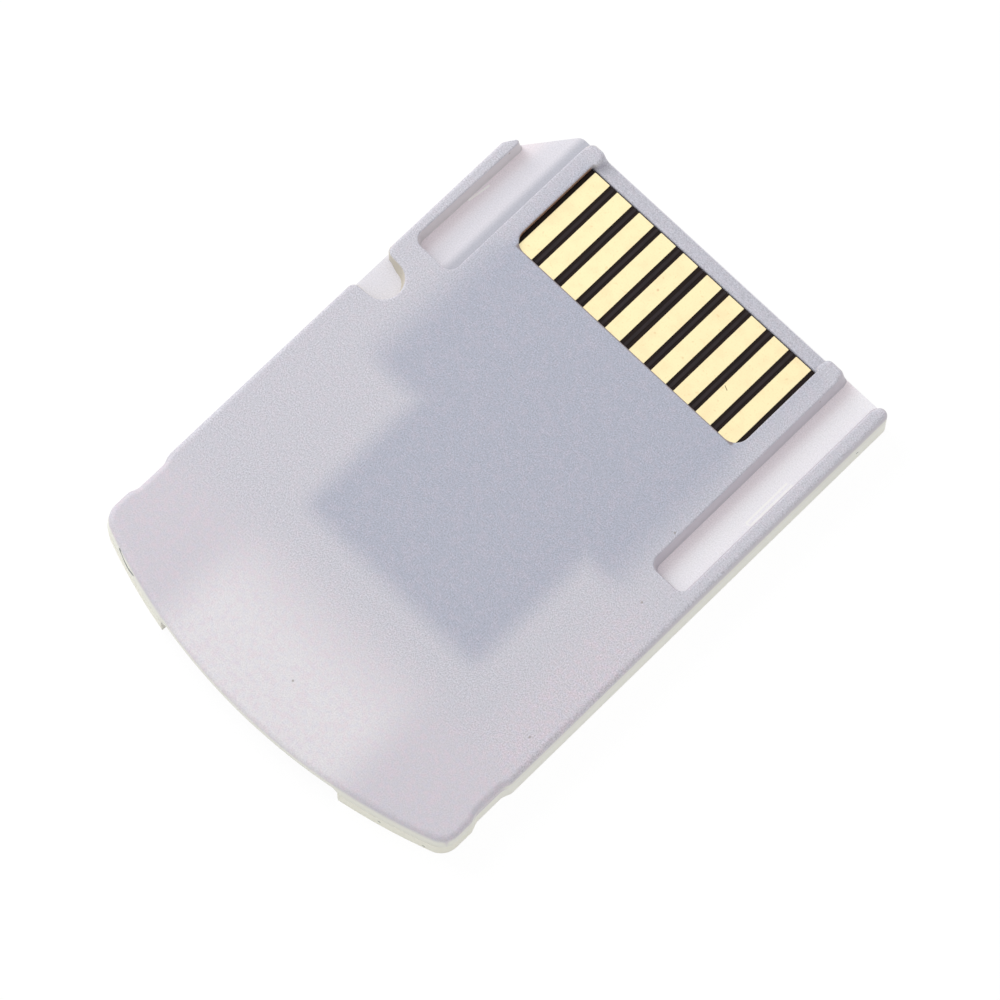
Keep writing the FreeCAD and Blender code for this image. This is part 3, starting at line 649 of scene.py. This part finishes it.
def mould_cover():
    """The cover as one closed mesh: rounded rims, walls with draft, and the board's pocket below."""
    work = bmesh.new()
    run = outline(cover_outline())
    levels = [lambda wall: (TOP, -wall.rim - SUPPORT)]
    levels += [on_rim(math.pi / 2 * step / RIM_STEPS) for step in range(RIM_STEPS + 1)]
    levels.append(on_wall(ROOF_UNDERSIDE))
    upper = [ring(work, run, level) for level in levels]
    for above, below in zip(upper, upper[1:]):
        join_rings(work, above, below)
    first, last = [count for count, (point, _, _) in enumerate(run)
                   if abs(point.y - LIP) < SUPPORT and abs(abs(point.x) - WINDOW_SIDE) < SUPPORT]
    pocket = outline(board_pocket(), closed=False)[1:-1]
    under = ring(work, pocket, on_wall(ROOF_UNDERSIDE))
    edge = upper[-1][last:] + upper[-1][:first + 1]
    lower = run[last:] + run[:first + 1] + pocket
    rings = [edge + under]
    for step in range(COVE_STEPS + 1):
        angle = math.pi / 2 * step / COVE_STEPS
        height = PARTING + (COVE_TOP - PARTING) * (1 - math.sin(angle))
        rings.append(ring(work, lower, on_wall(height, 1 - math.cos(angle))))
    for above, below in zip(rings, rings[1:]):
        join_rings(work, above, below)
    window = upper[-1][first + 1:last]
    flats = [work.faces.new(upper[0]), work.faces.new([edge[-1], *under, edge[0]] + window[::-1]),
             work.faces.new(rings[-1][::-1])]
    work.normal_update()
    bmesh.ops.triangulate(work, faces=flats, ngon_method="BEAUTY")
    add_lip(work)
    bmesh.ops.scale(work, verts=work.verts, vec=(MM, MM, MM))
    mesh = bpy.data.meshes.new("cover")
    work.to_mesh(mesh)
    work.free()
    mesh.shade_smooth()
    mesh.set_sharp_from_angle(angle=CREASE)
    return mesh


def add_lip(work):
    """The ramped lip in front of the pads, between the two towers."""
    corners = [(LIP, PARTING, 0, WINDOW), (LIP_FRONT, PARTING, 0, WINDOW),
               (LIP_FRONT, LIP_TIP, LIP_TIP_BEND, WINDOW), (LIP, LIP_TOP, LIP_BEND, WINDOW)]
    profile = [point for point, _, _ in outline(corners)]
    sides = [[work.verts.new((x, y, z)) for y, z in profile] for x in (-WINDOW_SIDE, WINDOW_SIDE)]
    for near, far in zip(zip(*sides), zip(*(side[1:] + side[:1] for side in sides))):
        work.faces.new((near[0], near[1], far[1], far[0])[::-1])
    work.faces.new(sides[0][::-1])
    work.faces.new(sides[1])


PLAIN, PLAIN_WARM, SHADE, PALE = (200, 199, 207), (205, 201, 208), (175, 178, 192), (224, 221, 224)
PINK, BLUE = (224, 200, 212), (196, 199, 224)
LEFT_WALL_LIGHT, RIGHT_WALL_LIGHT, NOTCH_WALL_SHADE = (215, 210, 213), (204, 199, 206), (200, 193, 174)
COVER_EDGE_GLOW, PAINTED_GLINT = (238, 237, 227), (242, 242, 247)
WALL_GOLD_REFLECTION, FOOT_SHADE, COVER_MARK = (150, 108, 82), (112, 90, 78), (140, 130, 120)
LOW_END, WARM_SIDE, WARM_END = (-10.5, -7.5), (7.5, 9.5), (-2.0, 2.0)
SLOT_HALF, SLOT_END = (4.1, 6.9), (-12.6, -7.4)
COVER_GRAIN, LOW_GRAIN, PEARL_SCALES = 1.05, 0.6, (3.3, 4.0)
SHADE_LEFT, SHADE_RIGHT, SHADE_TAIL, SHADE_SHOULDER, SHADE_SIDE = -4.8, 6.0, -6.5, 0.6, 7.75
TAB_BLUR, SIDE_BLUR = 0.75, 1.3
CRACK_START, CRACK_END, CRACK_LEVEL, CRACK_SAG, CRACK_BLOB = -9.32, -7.9, 1.64, 1.1, (-9.3, -13.80, 1.62)
CRACK_RADIUS, CRACK_SHARE = 0.13, 0.85
COVER_SPECKS = ((0.71, -12.68, 2.0), (10.05, -7.1, 2.0), (-10.345, 12.16, 1.8), (-9.9, 4.6, 2.0),
                (7.97, 4.28, 2.0), (8.25, 13.5, 1.7), (9.2, 0.9, 2.0))
COVER_SPECK_RADIUS, COVER_SPECK_SHARE = 0.07, 0.6


def greater(first, second):
    """The greater of two links."""
    return first.maths("MAXIMUM", first, second)


def board_shade(x, y):
    """1 where the board shows through the roof, and 0 where it doesn't."""
    wide = 1 - rise(abs(x), SHADE_SIDE - SIDE_BLUR, SHADE_SIDE + SIDE_BLUR)
    wide = wide * rise(y, SHADE_SHOULDER - TAB_BLUR, SHADE_SHOULDER + TAB_BLUR)
    middle, half = (SHADE_LEFT + SHADE_RIGHT) / 2, (SHADE_RIGHT - SHADE_LEFT) / 2
    tab = 1 - rise(abs(x - middle), half - TAB_BLUR, half + TAB_BLUR)
    tab = tab * rise(y, SHADE_TAIL - TAB_BLUR, SHADE_TAIL + TAB_BLUR)
    shade = greater(wide, tab * (1 - rise(y, SHADE_SHOULDER + 1, SHADE_SHOULDER + 2)))
    towers = rise(abs(x), WINDOW_SIDE - 0.2, WINDOW_SIDE + 0.4)
    towers = towers * rise(y, WINDOW_FOOT - 1.4, WINDOW_FOOT + 0.6)
    return shade * (1 - towers * 0.55) * (1 - rise(y, LIP - 0.3, LIP + 0.2) * 0.8)


def cover_plastic():
    material, place, (x, y, z) = new_material("back_shell_plastic")
    low = 1 - rise(y, *LOW_END)
    warm = greater(low, rise(x, *WARM_SIDE) * (1 - rise(y, *WARM_END)))
    colour = tint(paint(*PLAIN), paint(*PLAIN_WARM), warm)
    colour = tint(colour, paint(*SHADE), board_shade(x, y))
    # Painted glow: paler over the open slot, where light comes through the roof with no board behind it.
    open_slot = (1 - rise(abs(x), *SLOT_HALF)) * (1 - rise(y, *SLOT_END))
    colour = tint(colour, paint(*PALE), open_slot)
    pearl = warm * 0.18 + 0.11
    pink, blue = [rise(cloud(place, scale), 0.4, 0.7) * pearl for scale in PEARL_SCALES]
    colour = tint(colour, paint(*PINK), pink)
    colour = tint(colour, paint(*BLUE), blue * 0.6)
    colour = speckle(colour, place, COVER_GRAIN - low * LOW_GRAIN)
    # Painted glints: small bright points, stronger towards the lamp on the left and weaker at the curved end.
    leftwards = 1 - rise(x + y * 0.3, -4.0, 9.0)
    glint = place.node("ShaderNodeTexVoronoi", {}, {"Vector": place, "Scale": 5.5})
    painted_glints = (1 - rise(glint, 0.03, 0.16)) * rise(cloud(place, 2.9, 1.0), 0.45, 0.6)
    colour = tint(colour, paint(*PAINTED_GLINT), painted_glints * (leftwards * 0.42 + 0.12) * (1 - low * 0.4))
    # Painted light: walls below the top in the grooves' half of the card, outside the window, are painted
    # lighter, the left ones more than the right, to lift the shade that the lamp leaves on them.
    wall = 1 - rise(z, TOP - 0.12, TOP - 0.03)
    wall_light = tint(paint(*LEFT_WALL_LIGHT), paint(*RIGHT_WALL_LIGHT), rise(x, -1, 1))
    beside = rise(y, -2.0, 1.0) * rise(abs(x), WINDOW_SIDE + 0.2, WINDOW_SIDE + 0.4)
    colour = tint(colour, wall_light, wall * beside)
    # Painted shade: the notch's walls are painted a darker beige where they lie in shade.
    notch = (1 - rise(x, -8.9, -8.5)) * rise(y, NOTCH_LOW - 0.3, NOTCH_LOW) * (1 - rise(y, 5.0, 5.4))
    colour = tint(colour, paint(*NOTCH_WALL_SHADE), wall * notch * 0.8)
    # Painted glow: the low part of the outer sides and curved end is painted pale cream, standing in for
    # light through the thin plastic.
    reach = distance(x, y - END_CENTRE)
    edge = greater(rise(abs(x), SIDE - 0.22, SIDE - 0.06), rise(reach, END_RADIUS - 0.22, END_RADIUS - 0.06))
    colour = tint(colour, paint(*COVER_EDGE_GLOW), edge * (1 - rise(z, 1.5, 1.9)))
    along = (x - CRACK_START) / (CRACK_END - CRACK_START)
    sag = along * (1 - along) * CRACK_SAG + (cloud(place, 3.0) - 0.5) * 0.12
    thick = cloud(place, 2.5) * 0.12
    line = 1 - rise(abs(z - CRACK_LEVEL + sag), thick * 0.5, thick + 0.04)
    ends = rise(along, 0.0, 0.05) * (1 - rise(along, 0.85, 1.0))
    crack = line * ends * rise(reach, END_RADIUS - 0.08, END_RADIUS - 0.04)
    crack = greater(crack, spot((x, y, z), CRACK_BLOB, CRACK_RADIUS))
    colour = tint(colour, paint(*FRONT_MARK), crack * CRACK_SHARE)
    # Painted reflection: a brown line at the foot of the window's left wall stands in for the gold pads
    # reflected in it, with the wall's shade.
    gold_reflection = rise(x, -WINDOW_SIDE - 0.02, -WINDOW_SIDE + 0.005) * (1 - rise(x, -7.1, -7.0))
    gold_reflection = gold_reflection * rise(y, WINDOW_FOOT, WINDOW_FOOT + 0.2) * (1 - rise(y, LIP - 0.2, LIP))
    colour = tint(colour, paint(*WALL_GOLD_REFLECTION), gold_reflection * (1 - rise(z, 1.85, 1.97)))
    # Painted shade: a thin dark line along the window's foot edge, where the rounded rim over the pads lies
    # in shade.
    foot_shade = rise(y, WINDOW_FOOT - 0.1, WINDOW_FOOT - 0.02) * (1 - rise(y, LIP - 1, LIP - 0.8))
    foot_shade = foot_shade * (1 - rise(abs(x), WINDOW_SIDE - 0.35, WINDOW_SIDE - 0.2)) * rise(z, 1.6, 1.7)
    colour = tint(colour, paint(*FOOT_SHADE), foot_shade * 0.7)
    for at in COVER_SPECKS:
        colour = tint(colour, paint(*COVER_MARK), spot((x, y, z), at, COVER_SPECK_RADIUS) * COVER_SPECK_SHARE)
    grain = cloud(place, 7.5, 3.0)
    surface(material, Base_Color=colour, Roughness=0.46 + grain * 0.14, Normal=bumps(grain, 0.010))
    surface(material, **MILKINESS, Subsurface_Radius=(0.6, 0.55, 0.55))
    return material


add_piece("back_shell_cover", mould_cover(), cover_plastic(), "back_shell_plastic", "back_shell")

# Stage: a plain white floor under soft, even light, with one broad lamp to the upper left of the view.
# The camera looks down on the contact side along the card's diagonal.
DAYLIGHT = 0.72
LAMP_POWER = 0.32
LAMP_AT, LAMP_SIZE = (-0.2, 0.0, 0.16), 0.16
FLOOR_HALF, FLOOR_LEVEL, FLOOR_CLEAR = 2.0, -0.00001, 0.00005
FLOOR_PAINT, FLOOR_WHITE, FLOOR_SHOWN = (245, 245, 245), 1.03, 0.9
FLOOR_SIGNS = ((-1, -1), (1, -1), (1, 1), (-1, 1))
VIEW_TARGET = (1.039, 0.085, 1.0)
VIEW_AZIMUTH, VIEW_ELEVATION, VIEW_ROLL, VIEW_DISTANCE = 45.584, 71.488, -0.795, 244.75
VIEW_LENS, SENSOR = 194.54, 36.0


def seen_directly(tree):
    """1 for rays that come straight from the camera or off metal or glass, and 0 for the light itself."""
    path = tree.nodes.new("ShaderNodeLightPath")
    camera, glossy, through = [Link(tree, path.outputs[name])
                               for name in ("Is Camera Ray", "Is Glossy Ray", "Is Transmission Ray")]
    return greater(camera, greater(glossy, through))


def white_floor():
    """White from above. It is clear from below, and to the underside of the card that lies on it."""
    material = bpy.data.materials.new("white_floor")
    material.use_nodes = True
    tree = material.node_tree
    tree.nodes.remove(tree.nodes["Principled BSDF"])
    start = Link(tree)
    matt = start.node("ShaderNodeBsdfDiffuse", {}, {"Color": paint(*FLOOR_PAINT)})
    glow = start.node("ShaderNodeEmission", {}, {"Color": (1, 1, 1, 1), "Strength": FLOOR_WHITE})
    mixed = start.node("ShaderNodeMixShader", {}, {0: seen_directly(tree) * FLOOR_SHOWN, 1: matt, 2: glow})
    below = start.node("ShaderNodeNewGeometry", output="Backfacing")
    length = start.node("ShaderNodeLightPath", output="Ray Length")
    unseen = greater(below, 1 - rise(length, FLOOR_CLEAR, FLOOR_CLEAR * 2))
    clear = start.node("ShaderNodeBsdfTransparent")
    mixed = start.node("ShaderNodeMixShader", {}, {0: unseen, 1: mixed, 2: clear})
    tree.links.new(mixed.output, tree.nodes["Material Output"].inputs["Surface"])
    return material


floor_mesh = bpy.data.meshes.new("floor")
floor_corners = [(x * FLOOR_HALF, y * FLOOR_HALF, FLOOR_LEVEL) for x, y in FLOOR_SIGNS]
floor_mesh.from_pydata(floor_corners, [], [(0, 1, 2, 3)])
floor_mesh.materials.append(white_floor())
floor = bpy.data.objects.new("floor", floor_mesh)
scene.collection.objects.link(floor)

world = bpy.data.worlds.new("daylight")
world.use_nodes = True
scene.world = world
sky = world.node_tree.nodes["Background"]
sky.inputs["Color"].default_value = (1, 1, 1, 1)
level = seen_directly(world.node_tree) * (1.0 - DAYLIGHT) + DAYLIGHT
world.node_tree.links.new(level.output, sky.inputs["Strength"])

lamp = bpy.data.lights.new("upper_left_lamp", "AREA")
lamp.energy = LAMP_POWER
lamp.size = LAMP_SIZE
lamp_object = bpy.data.objects.new("upper_left_lamp", lamp)
lamp_object.location = LAMP_AT
lamp_object.rotation_euler = (-Vector(LAMP_AT)).to_track_quat("-Z", "Y").to_euler()
scene.collection.objects.link(lamp_object)

azimuth, elevation, roll = [math.radians(angle) for angle in (VIEW_AZIMUTH, VIEW_ELEVATION, VIEW_ROLL)]
back = Vector((math.sin(azimuth) * math.cos(elevation), -math.cos(azimuth) * math.cos(elevation),
               math.sin(elevation)))
level_right = Vector((math.cos(azimuth), math.sin(azimuth), 0))
level_up = back.cross(level_right)
right = math.cos(roll) * level_right + math.sin(roll) * level_up
up = back.cross(right)
camera_data = bpy.data.cameras.new("camera")
camera_data.lens = VIEW_LENS
camera_data.sensor_width = SENSOR
camera_data.clip_start = 0.01
camera = bpy.data.objects.new("camera", camera_data)
turn = Matrix((right, up, back)).transposed().to_4x4()
camera.matrix_world = Matrix.Translation((Vector(VIEW_TARGET) + back * VIEW_DISTANCE) * MM) @ turn
scene.collection.objects.link(camera)
scene.camera = camera
scene.view_settings.view_transform = "Standard"
